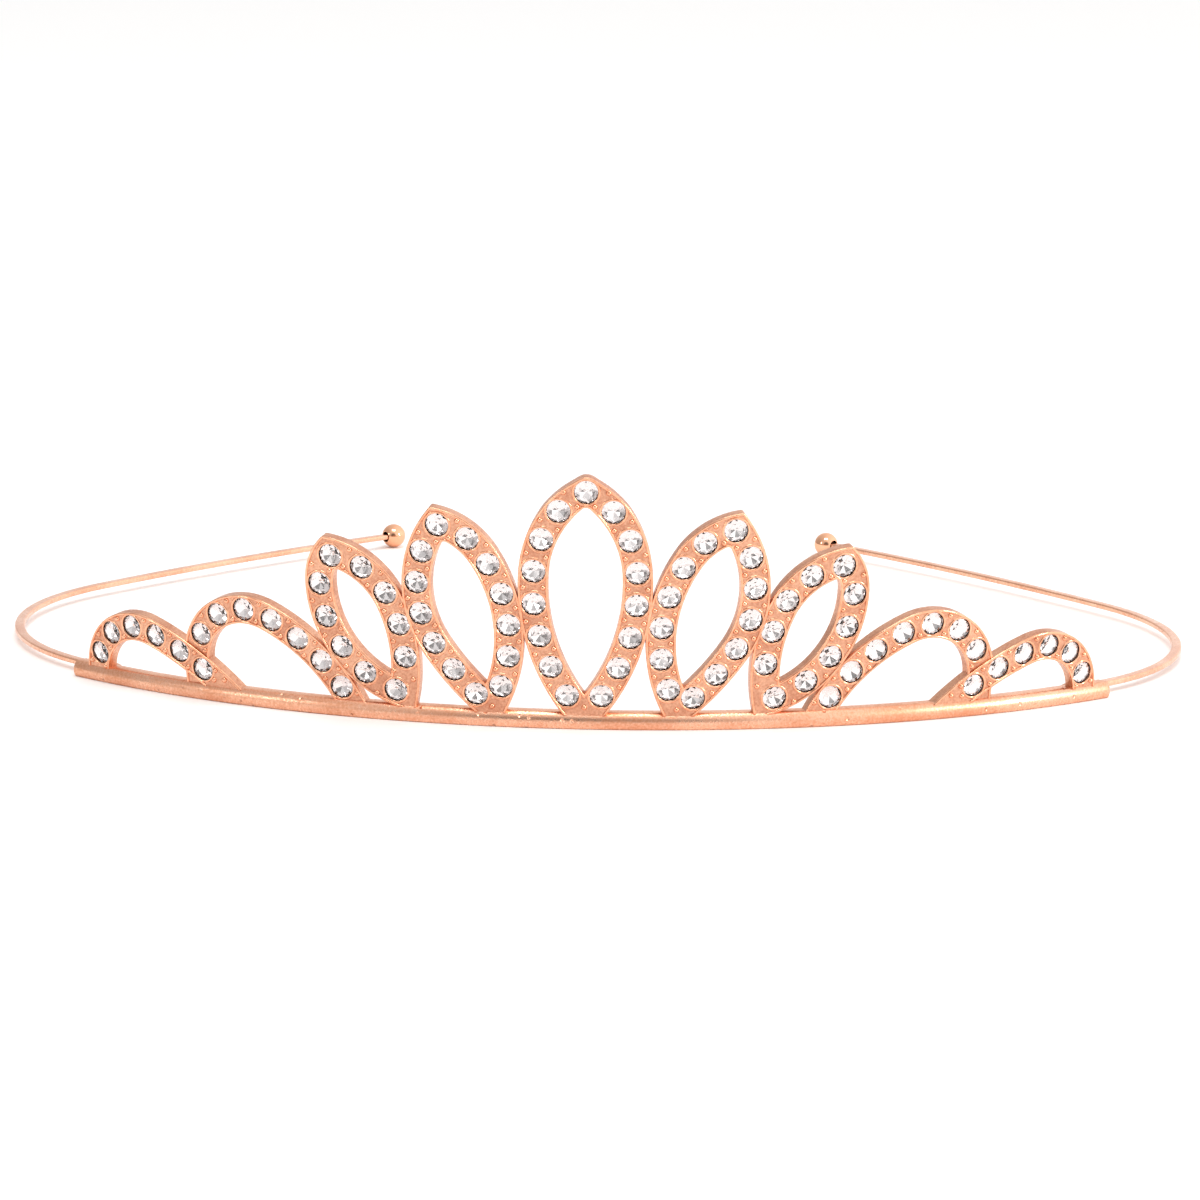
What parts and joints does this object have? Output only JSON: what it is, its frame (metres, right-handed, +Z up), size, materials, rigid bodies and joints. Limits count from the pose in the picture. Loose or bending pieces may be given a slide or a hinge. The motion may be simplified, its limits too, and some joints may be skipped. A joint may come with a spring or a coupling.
{
  "type": "crown headband",
  "caption": "Open horseshoe headband with a low openwork crown of petals and bows, set with round cut stones, and ball-tipped arms.",
  "frame": {"origin": "on the surface that the headband stands on, midway between the widest points of its two arms", "axes": "+X to the wearer's left and the picture's right, across the band; +Y from the crown at the front to the open end at the back; +Z up, out of the surface"},
  "size_m": [0.1376, 0.1092, 0.028],
  "materials": {
    "satin_metal": "rose-gold plated, satin with polished rims",
    "polished_metal": "rose-gold plated, polished",
    "crystal": "clear cut glass, foil backed"
  },
  "bodies": {
    "root": {"crown_band": "satin_metal", "ball_tip_left": "polished_metal", "ball_tip_right": "polished_metal", "stones_center": "crystal", "stones_second_left": "crystal", "stones_second_right": "crystal", "stones_third_left": "crystal", "stones_third_right": "crystal", "stones_large_bow_left": "crystal", "stones_large_bow_right": "crystal", "stones_small_bow_left": "crystal", "stones_small_bow_right": "crystal"}
  },
  "joints": []
}
